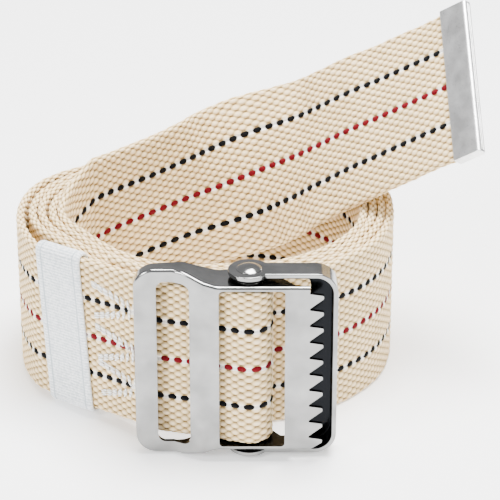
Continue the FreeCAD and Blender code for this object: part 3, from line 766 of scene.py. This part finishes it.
    def weave_strip(self, name: str, strip: Strip, row_steps: int) -> bpy.types.Object:
        """Weaves a strip's surface: a closed ribbon whose every float stands up as a bump.

        Args:
            name: The piece's name.
            strip: Its sections.
            row_steps: Mesh steps across each row of floats.

        Returns:
            The object, with its weave map.
        """
        outline, normals, counts = self.section(row_steps)
        around = len(outline)
        along = len(strip.column)
        u, v = strip.column[:, None], counts[None, :]
        uneven = 0.10 * np.sin(1.7 * u + 2.3 * v) + 0.08 * np.sin(0.61 * u - 1.9 * v + 1.0)
        height = self.weave.domes(u, v) * (1 + uneven) * self.relief_mm - self.valley_mm
        low = strip.across[:, None, :] * outline[None, :, :1]
        deep = strip.face[:, None, :] * outline[None, :, 1:]
        out = strip.across[:, None, :] * normals[None, :, :1] + strip.face[:, None, :] * normals[None, :, 1:]
        sway = 0.12 * np.sin(strip.column * 0.37)[:, None, None] * strip.face[:, None, :]
        points = strip.centre[:, None, :] + low + deep + out * height[:, :, None] + sway
        points = (points.reshape(-1, 3) + self.origin) * MM
        i, j = np.meshgrid(np.arange(along - 1), np.arange(around), indexing="ij")
        after = (j + 1) % around
        here, ahead = i * around, (i + 1) * around
        quads = np.stack([here + j, here + after, ahead + after, ahead + j], axis=-1)
        total = counts[-1] + (counts[-1] - counts[-2])
        v_after = np.where(after == 0, total, counts[after])
        uv = np.stack(
            [
                np.stack([strip.column[i], counts[j]], axis=-1),
                np.stack([strip.column[i], v_after], axis=-1),
                np.stack([strip.column[i + 1], v_after], axis=-1),
                np.stack([strip.column[i + 1], counts[j]], axis=-1),
            ],
            axis=2,
        ).reshape(-1, 2)
        faces = [tuple(q) for q in quads.reshape(-1, 4).tolist()]
        first = tuple(range(around))[::-1]
        last = tuple((along - 1) * around + k for k in range(around))
        mesh = bpy.data.meshes.new(name)
        mesh.from_pydata(points.tolist(), [], faces + [first, last])
        layer = mesh.uv_layers.new(name="weave")
        caps = np.concatenate(
            [np.stack([np.full(around, strip.column[e]), counts[list(order)]], axis=-1)
             for e, order in ((0, range(around - 1, -1, -1)), (-1, range(around)))]
        )
        layer.data.foreach_set("uv", np.concatenate([uv, caps]).astype(np.float32).ravel())
        mesh.update()
        check = bmesh.new()
        check.from_mesh(mesh)
        if check.calc_volume(signed=True) < 0:
            bmesh.ops.reverse_faces(check, faces=check.faces[:])
            check.to_mesh(mesh)
        check.free()
        return smooth_object(name, mesh)

    def build(self) -> None:
        """Builds, dresses and places every stretch of the webbing."""
        material = self.weave.material()
        first = 0.0
        routes = {f"webbing_turn_{turn}": self.coil_turn(turn) for turn in range(self.turns, 0, -1)}
        coarse, middling, fine = (self.weave.column_mm / steps for steps in (3, 4, 6))
        for name, route in routes.items():
            self.strips[name] = self.upright_strip(route, lambda s: 0.0, first, coarse)
            first += route.length
        self.strips["webbing_lead"] = self.upright_strip(self.lead, self.lift, first, fine)
        first += self.lead.length
        floor = self.pin_mid_mm - self.wide_mm / 2
        self.strips["webbing_loop"] = self.upright_strip(self.loop, lambda s: floor, first, fine)
        self.strips["webbing_free_end"] = self.free_strip(middling)
        for name, strip in self.strips.items():
            row_steps = self.row_steps.get(name, 4)
            piece = self.weave_strip(name.replace("webbing", "woven"), strip, row_steps)
            dress(piece, material)
            place_piece(piece, Body.BELT, Slot.WEBBING, name)


@dataclass
class StraightRun:
    """The lead's straight stretch as a frame: x along the webbing, y to its back, z across it."""

    webbing: Webbing

    def matrix(self, along_mm: float = 0.0) -> Matrix:
        """The frame's matrix in millimetres about the pin, moved along the webbing."""
        tilt = Matrix.Rotation(math.radians(self.webbing.straight_heading), 4, "Z") @ Matrix.Rotation(
            -self.webbing.slope, 4, "Y"
        )
        start = Vector((*self.webbing.straight_at, self.webbing.lifts_mm[0] + self.webbing.wide_mm / 2))
        origin = Vector(self.webbing.origin)
        return Matrix.Translation(start + origin) @ tilt @ Matrix.Translation((along_mm, 0, 0))


@dataclass
class Keeper:
    """The elastic sleeve that holds the webbing's layers beside the buckle."""

    run: StraightRun
    wide_mm: float = 18.0
    inner_half_high_mm: float = 25.75
    inner_half_deep_mm: float = 1.6
    wall_mm: float = 0.95
    start_mm: float = 1.0
    rib_mm: float = 0.95
    border_mm: float = 2.4
    round_step_mm: float = 0.2
    wide_steps: int = 72
    lip_mm: float = 0.35
    rib_high_mm: float = 0.1
    groove_mm: float = 0.2

    def outline(self, grow: float) -> tuple[np.ndarray, np.ndarray, np.ndarray]:
        """A flat loop round the webbing.

        Args:
            grow: How far it stands outside the sleeve's inner face.

        Returns:
            Its places, their outward normals and the length so far.
        """
        deep = self.inner_half_deep_mm + grow
        flat = self.inner_half_high_mm + grow - deep
        total = 4 * flat + 2 * math.pi * deep
        count = round((4 * self.inner_half_high_mm + 2 * math.pi * 2.1) / self.round_step_mm)
        spots, normals, lengths = [], [], []
        for s in np.arange(count) / count * total:
            part = s
            if part < 2 * flat:
                spots.append((-deep, -flat + part))
                normals.append((-1.0, 0.0))
            elif part < 2 * flat + math.pi * deep:
                angle = (part - 2 * flat) / deep
                spots.append((-deep * math.cos(angle), flat + deep * math.sin(angle)))
                normals.append((-math.cos(angle), math.sin(angle)))
            elif part < 4 * flat + math.pi * deep:
                spots.append((deep, flat - (part - 2 * flat - math.pi * deep)))
                normals.append((1.0, 0.0))
            else:
                angle = (part - 4 * flat - math.pi * deep) / deep
                spots.append((deep * math.cos(angle), -flat - deep * math.sin(angle)))
                normals.append((math.cos(angle), -math.sin(angle)))
            lengths.append(s)
        return np.array(spots), np.array(normals), np.array(lengths)

    def build(self) -> None:
        """Builds the ribbed sleeve with its two denser borders, and hangs it on its own body."""
        outer, out_normals, lengths = self.outline(self.wall_mm)
        inner, _, _ = self.outline(0.0)
        count = len(outer)
        rings = np.linspace(0, self.wide_mm, self.wide_steps + 1)
        points, maps = [], []
        for x in rings:
            edge = min(x, self.wide_mm - x)
            sunk = self.lip_mm * max(0.0, 1 - edge / 0.5) ** 2
            in_border = 1.0 if edge < self.border_mm else 0.0
            rib = np.cos(2 * math.pi * lengths / self.rib_mm)
            from_fold = np.abs(np.abs(outer[:, 1]) - self.inner_half_high_mm)
            fold = np.clip(1.3 - from_fold / 14, 0.25, 1.0)
            ribs = self.rib_high_mm * rib * fold * (1 - in_border)
            height = ribs + in_border * self.rib_high_mm * np.sign(edge - 0.9)
            groove = -self.groove_mm * math.exp(-((edge - self.border_mm) / 0.3) ** 2)
            place = outer + out_normals * (height + groove - sunk)[:, None]
            points += [(x, deep, high) for deep, high in place]
            maps += [(x, s) for s in lengths]
        for x in (self.wide_mm - 0.1, 0.1):
            points += [(x, deep, high) for deep, high in inner]
            maps += [(x, s) for s in lengths]
        faces = []
        total_rings = len(rings) + 2
        for ring in range(total_rings):
            following = (ring + 1) % total_rings
            for k in range(count):
                after = (k + 1) % count
                here, ahead = ring * count, following * count
                faces.append((here + k, here + after, ahead + after, ahead + k))
        matrix = Matrix.Scale(MM, 4) @ self.run.matrix(self.start_mm)
        mesh = bpy.data.meshes.new("knitted_keeper")
        mesh.from_pydata([matrix @ Vector(point) for point in points], [], faces)
        layer = mesh.uv_layers.new(name="knit")
        for loop in mesh.loops:
            layer.data[loop.index].uv = maps[loop.vertex_index]
        mesh.update()
        fix = bmesh.new()
        fix.from_mesh(mesh)
        bmesh.ops.recalc_face_normals(fix, faces=fix.faces[:])
        fix.to_mesh(mesh)
        fix.free()
        piece = smooth_object("knitted_keeper", mesh)
        dress(piece, KnittedElastic(self.wide_mm, self.border_mm, self.rib_mm).material())
        place_piece(piece, Body.KEEPER, Slot.ELASTIC, "elastic_keeper")


@dataclass
class BarTack:
    """Rows of zigzag stitches through the lead and its tail, between the keeper and the buckle."""

    run: StraightRun
    left_mm: float = 24.0
    rows_mm: tuple[float, ...] = (18.0, 4.0, -8.0)
    drop_mm: float = 5.0
    end_gap_mm: float = 1.0
    stitch_mm: float = 2.3
    thread_mm: float = 0.36
    lines: tuple[float, ...] = (-0.7, 0.0, 0.7)

    def stitch_tree(self) -> bpy.types.GeometryNodeTree:
        """Node tree that lays stitches along curves. Its inputs are the stitch's length and radius."""
        tree = bpy.data.node_groups.new("stitches_along_curve", "GeometryNodeTree")
        tree.interface.new_socket("Geometry", in_out="INPUT", socket_type="NodeSocketGeometry")
        for name, value in (("Stitch Length", self.stitch_mm * MM), ("Thread Radius", self.thread_mm * MM)):
            socket = tree.interface.new_socket(name, in_out="INPUT", socket_type="NodeSocketFloat")
            socket.default_value = value
        tree.interface.new_socket("Material", in_out="INPUT", socket_type="NodeSocketMaterial")
        tree.interface.new_socket("Geometry", in_out="OUTPUT", socket_type="NodeSocketGeometry")
        given = add_node(tree, "NodeGroupInput")
        shape = add_node(tree, "GeometryNodeMeshUVSphere", {"Segments": 8, "Rings": 6, "Radius": 1.0})
        length = given.outputs["Stitch Length"]
        radius = given.outputs["Thread Radius"]
        half = add_node(tree, "ShaderNodeMath", {0: length, 1: 0.52}, operation="MULTIPLY").outputs[0]
        size = add_node(tree, "ShaderNodeCombineXYZ", {0: radius, 1: radius, 2: half}).outputs[0]
        curve = {"Curve": given.outputs[0], "Length": length}
        spots = add_node(tree, "GeometryNodeCurveToPoints", curve, mode="LENGTH")
        jitter = add_node(
            tree,
            "FunctionNodeRandomValue",
            {0: (-0.12, -0.12, -0.3), 1: (0.12, 0.12, 0.3), "Seed": 7},
            data_type="FLOAT_VECTOR",
        ).outputs[0]
        facing = {0: spots.outputs["Rotation"]}
        turned = add_node(tree, "FunctionNodeRotateRotation", facing, rotation_space="LOCAL")
        twist = add_node(tree, "FunctionNodeEulerToRotation", {0: jitter}).outputs[0]
        tree.links.new(twist, turned.inputs[1])
        stitch = {"Points": spots.outputs[0], "Instance": shape.outputs[0]}
        stitch |= {"Rotation": turned.outputs[0], "Scale": size}
        laid = add_node(tree, "GeometryNodeInstanceOnPoints", stitch)
        real = add_node(tree, "GeometryNodeRealizeInstances", {0: laid.outputs[0]})
        smooth = add_node(tree, "GeometryNodeSetShadeSmooth", {0: real.outputs[0]})
        dressed = add_node(
            tree, "GeometryNodeSetMaterial", {0: smooth.outputs[0], "Material": given.outputs["Material"]}
        )
        add_node(tree, "NodeGroupOutput", {0: dressed.outputs[0]})
        return tree

    def build(self) -> None:
        """Lays the stitches on the webbing's face, and hangs them on the belt."""
        webbing = self.run.webbing
        right = webbing.straight_run - self.end_gap_mm
        matrix = Matrix.Scale(MM, 4) @ self.run.matrix()
        curve = bpy.data.curves.new("tack_lines", "CURVE")
        curve.dimensions = "3D"
        for start in self.rows_mm:
            for offset in self.lines:
                corners = (
                    (self.left_mm, start + offset),
                    (right, start - self.drop_mm + offset),
                    (self.left_mm, start - 2 * self.drop_mm + offset),
                )
                spline = curve.splines.new("POLY")
                spline.points.add(len(corners) - 1)
                for point, (x, z) in zip(spline.points, corners):
                    spot = matrix @ Vector((x, -webbing.thick_mm / 2 - 0.15, z))
                    point.co = (*spot, 1.0)
        piece = bpy.data.objects.new("tack_stitches", curve)
        bpy.context.scene.collection.objects.link(piece)
        material = SewingThread().material()
        tree = self.stitch_tree()
        modifier = piece.modifiers.new("stitches", "NODES")
        modifier.node_group = tree
        for item in tree.interface.items_tree:
            if item.in_out == "INPUT" and item.name == "Material":
                modifier[item.identifier] = material
        graph = bpy.context.evaluated_depsgraph_get()
        graph.update()
        mesh = bpy.data.meshes.new_from_object(piece.evaluated_get(graph))
        bpy.data.objects.remove(piece)
        stitches = smooth_object("tack_stitches", mesh)
        dress(stitches, material)
        place_piece(stitches, Body.BELT, Slot.THREAD, "bar_tack")


def rounded_copy(
    node: str,
    name: str,
    radius_mm: float,
    chosen: Callable[[bmesh.types.BMEdge], bool] | None = None,
    chosen_mm: float = 0.0,
) -> bpy.types.Object:
    """A copy of a CAD node with its edges rounded.

    Args:
        node: The CAD node.
        name: The copy's name.
        radius_mm: The rounding of its sharp edges.
        chosen: Picks the edges that get a wider rounding first.
        chosen_mm: That wider rounding.

    Returns:
        The copy, at the origin.
    """
    merged = bmesh.new()
    merged.from_mesh(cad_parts[node].data)
    bmesh.ops.remove_doubles(merged, verts=merged.verts[:], dist=0.004 * MM)
    bmesh.ops.dissolve_limit(
        merged,
        angle_limit=math.radians(1.0),
        verts=merged.verts[:],
        edges=merged.edges[:],
        use_dissolve_boundaries=False,
    )
    if chosen:
        picked = [edge for edge in merged.edges if chosen(edge)]
        bmesh.ops.bevel(
            merged,
            geom=picked,
            offset=chosen_mm * MM,
            segments=5,
            profile=0.5,
            affect="EDGES",
            clamp_overlap=False,
        )
    mesh = bpy.data.meshes.new(name)
    merged.to_mesh(mesh)
    merged.free()
    piece = smooth_object(name, mesh)
    bevel = piece.modifiers.new("rounding", "BEVEL")
    bevel.width = radius_mm * MM
    bevel.segments = 3
    bevel.limit_method = "ANGLE"
    bevel.angle_limit = math.radians(28)
    bevel.harden_normals = False
    bevel.use_clamp_overlap = True
    normals = piece.modifiers.new("normals", "WEIGHTED_NORMAL")
    normals.keep_sharp = True
    settle(piece)
    return piece


@dataclass
class EndTip:
    """The folded steel channel on the free end, with fold lines along its closed edge."""

    webbing: Webbing
    rounding_mm: float = 0.22
    fold_mm: float = 1.25
    bead_mm: float = 0.16
    half_long_mm: float = 5.0
    half_high_mm: float = 26.0
    bead_places_mm: tuple[float, ...] = (-0.35, 0.35)

    def build(self) -> None:
        """Builds the channel, its rounded fold and its fold lines as one piece."""
        strip = self.webbing.strips["webbing_free_end"]
        across = Vector(strip.across[-1]).normalized()
        face = Vector(strip.face[-1]).normalized()
        way = face.cross(across)
        low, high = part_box("end_tip")
        middle = (low + high) / 2

        def at_fold(edge: bmesh.types.BMEdge) -> bool:
            """Whether an edge runs along the closed side, on the outside."""
            first, second = (vertex.co - middle for vertex in edge.verts)
            reach = (self.half_long_mm - 0.3) * MM
            outside = min(first.dot(way), second.dot(way)) > reach
            return outside and abs((first - second).normalized().dot(across)) > 0.9

        piece = rounded_copy("end_tip", "folded_end_tip", self.rounding_mm, at_fold, self.fold_mm)
        beads = bmesh.new()
        for place in self.bead_places_mm:
            base = middle + way * (self.half_long_mm * MM) + face * (place * MM)
            spin = Matrix((face, way, across)).transposed().to_4x4()
            bmesh.ops.create_cone(
                beads,
                cap_ends=True,
                segments=10,
                radius1=self.bead_mm * MM,
                radius2=self.bead_mm * MM,
                depth=2 * (self.half_high_mm - 0.8) * MM,
                matrix=Matrix.Translation(base) @ spin,
            )
        beads.from_mesh(piece.data)
        beads.to_mesh(piece.data)
        beads.free()
        dress(piece, PlatedSteel("pressed_tip_steel", "E2E2E1", 0.33, 6.0, 0.35, 0.05).material())
        place_piece(piece, Body.BELT, Slot.END_TIP, "end_tip")


@dataclass
class Buckle:
    """The toothed jaw, the bail and the riveted pin with its washers."""

    jaw_round_mm: float = 0.55
    bail_round_mm: float = 0.45
    small_round_mm: float = 0.2
    # Beyond this reach right of the pin, the bail's inner faces take painted shade.
    painted_recess_from_mm: float = 12.0
    bend_mm: float = 0.9
    rim_from_mm: float = 27.1
    left_from_mm: float = 27.2

    def at_bend(self, pin: Vector, edge: bmesh.types.BMEdge) -> bool:
        """Whether an edge of the jaw is the bend between its front and its turned back rim."""
        if len(edge.link_faces) != 2:
            return False
        normals = [face.normal for face in edge.link_faces]
        front = min(normal.y for normal in normals) < -0.7
        rim = max(abs(normal.z) if abs(normal.y) < 0.3 else 0.0 for normal in normals) > 0.5
        left = min(normal.x if abs(normal.y) < 0.3 else 0.0 for normal in normals) < -0.5
        high = all(abs(vertex.co.z - pin.z) > self.rim_from_mm * MM for vertex in edge.verts)
        outer = all(vertex.co.x - pin.x < -self.left_from_mm * MM for vertex in edge.verts)
        return front and ((rim and high) or (left and outer))

    def mark_painted_recess_shade(self, piece: bpy.types.Object, pin: Vector) -> None:
        """Marks the faces that look into the buckle, towards the pin, with the attribute that paints shade on
        them.
        """
        mesh = piece.data
        marks = mesh.attributes.new("painted_recess_shade", "FLOAT", "POINT")
        painted_recess_flags = [0.0] * len(mesh.vertices)
        for face in mesh.polygons:
            spot = face.center - pin
            bail_side = piece.name == "bent_bail" and spot.x > self.painted_recess_from_mm * MM
            inner = face.normal.x < -0.5 or (face.normal.y < -0.5 and spot.y > 0)
            behind = piece.name == "pressed_jaw" and face.normal.y > 0.5
            ear = abs(spot.z) > 0.025 and face.normal.z * spot.z < 0 and abs(face.normal.z) > 0.5
            if (bail_side and inner) or behind or ear:
                for vertex in face.vertices:
                    painted_recess_flags[vertex] = 1.0
        marks.data.foreach_set("value", painted_recess_flags)

    def build(self) -> None:
        """Rounds each pressing's edges, dresses it and hangs it on its body."""
        plated = PlatedSteel("nickel_plated_steel").material()
        parts = (
            ("toothed_jaw", "pressed_jaw", self.jaw_round_mm, Body.JAW),
            ("bail", "bent_bail", self.bail_round_mm, Body.BAIL),
            ("pivot_pin", "riveted_pin", self.small_round_mm, Body.BAIL),
            ("upper_washer", "upper_ring", self.small_round_mm, Body.BAIL),
            ("lower_washer", "lower_ring", self.small_round_mm, Body.BAIL),
        )
        low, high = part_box("pivot_pin")
        pin = (low + high) / 2
        for node, name, radius, body in parts:
            bend = partial(self.at_bend, pin) if node == "toothed_jaw" else None
            piece = rounded_copy(node, name, radius, bend, self.bend_mm)
            # The jaw and the bail get their inner faces marked for painted shade.
            if node in ("toothed_jaw", "bail"):
                self.mark_painted_recess_shade(piece, pin)
            dress(piece, plated)
            place_piece(piece, body, Slot.BUCKLE, node)


@dataclass
class Studio:
    """A white table under broad soft light, and the camera."""

    lens_mm: float = 182.0
    camera_mm: tuple[float, float, float] = (0.265, -650.5, 397.43)
    camera_tilt: float = 63.096
    floor_m: float = 3.0
    floor_glow: float = 0.55

    def build_floor(self) -> None:
        """Builds the pale floor, on which the belt stands."""
        made = bmesh.new()
        bmesh.ops.create_grid(made, x_segments=1, y_segments=1, size=self.floor_m)
        mesh = bpy.data.meshes.new("floor")
        made.to_mesh(mesh)
        made.free()
        floor = bpy.data.objects.new("floor", mesh)
        bpy.context.scene.collection.objects.link(floor)
        material = bpy.data.materials.new("white_table")
        material.use_nodes = True
        shader = material.node_tree.nodes["Principled BSDF"]
        shader.inputs["Base Color"].default_value = linear("FCFCFC")
        shader.inputs["Roughness"].default_value = 0.6
        shader.inputs["Emission Color"].default_value = linear("FFFFFF")
        shader.inputs["Emission Strength"].default_value = self.floor_glow
        dress(floor, material)

    def build_light(self) -> None:
        """Builds a bright surround, a broad overhead light and a weaker one from the left."""
        world = bpy.data.worlds.new("surround")
        bpy.context.scene.world = world
        world.use_nodes = True
        tree = world.node_tree
        tree.nodes["Background"].inputs[0].default_value = linear("FAFAFC")
        tree.nodes["Background"].inputs[1].default_value = 0.72
        lights = (
            ("overhead", (0.15, 0.1, 1.1), (0.0, 0.0, 0.0), 0.6, 54.0),
            ("from_left", (-0.9, -0.9, 0.8), (0.0, 0.0, 0.02), 0.5, 22.0),
            ("from_right", (1.0, -0.6, 0.6), (0.0, 0.0, 0.03), 0.4, 4.0),
        )
        for name, place, aim, size, power in lights:
            data = bpy.data.lights.new(name, "AREA")
            data.shape = "SQUARE"
            data.size = size
            data.energy = power
            lamp = bpy.data.objects.new(name, data)
            bpy.context.scene.collection.objects.link(lamp)
            lamp.location = place
            lamp.rotation_euler = (Vector(aim) - Vector(place)).to_track_quat("-Z", "Y").to_euler()

    def build_camera(self, pin: np.ndarray) -> None:
        """Builds the camera, placed about the buckle's pin."""
        data = bpy.data.cameras.new("camera")
        data.lens = self.lens_mm
        data.sensor_width = 36.0
        data.clip_start = 0.01
        camera = bpy.data.objects.new("camera", data)
        bpy.context.scene.collection.objects.link(camera)
        camera.location = [(place + offset) * MM for place, offset in zip(self.camera_mm, pin)]
        camera.rotation_euler = (math.radians(self.camera_tilt), 0.0, 0.0)
        bpy.context.scene.camera = camera


def main() -> None:
    """Builds the belt and the studio."""
    logging.basicConfig(level=logging.INFO, format="%(name)s: %(message)s")
    webbing = Webbing()
    webbing.build()
    run = StraightRun(webbing)
    Keeper(run).build()
    BarTack(run).build()
    EndTip(webbing).build()
    Buckle().build()
    studio = Studio()
    studio.build_floor()
    studio.build_light()
    studio.build_camera(webbing.origin)


if __name__ == "__main__":
    main()
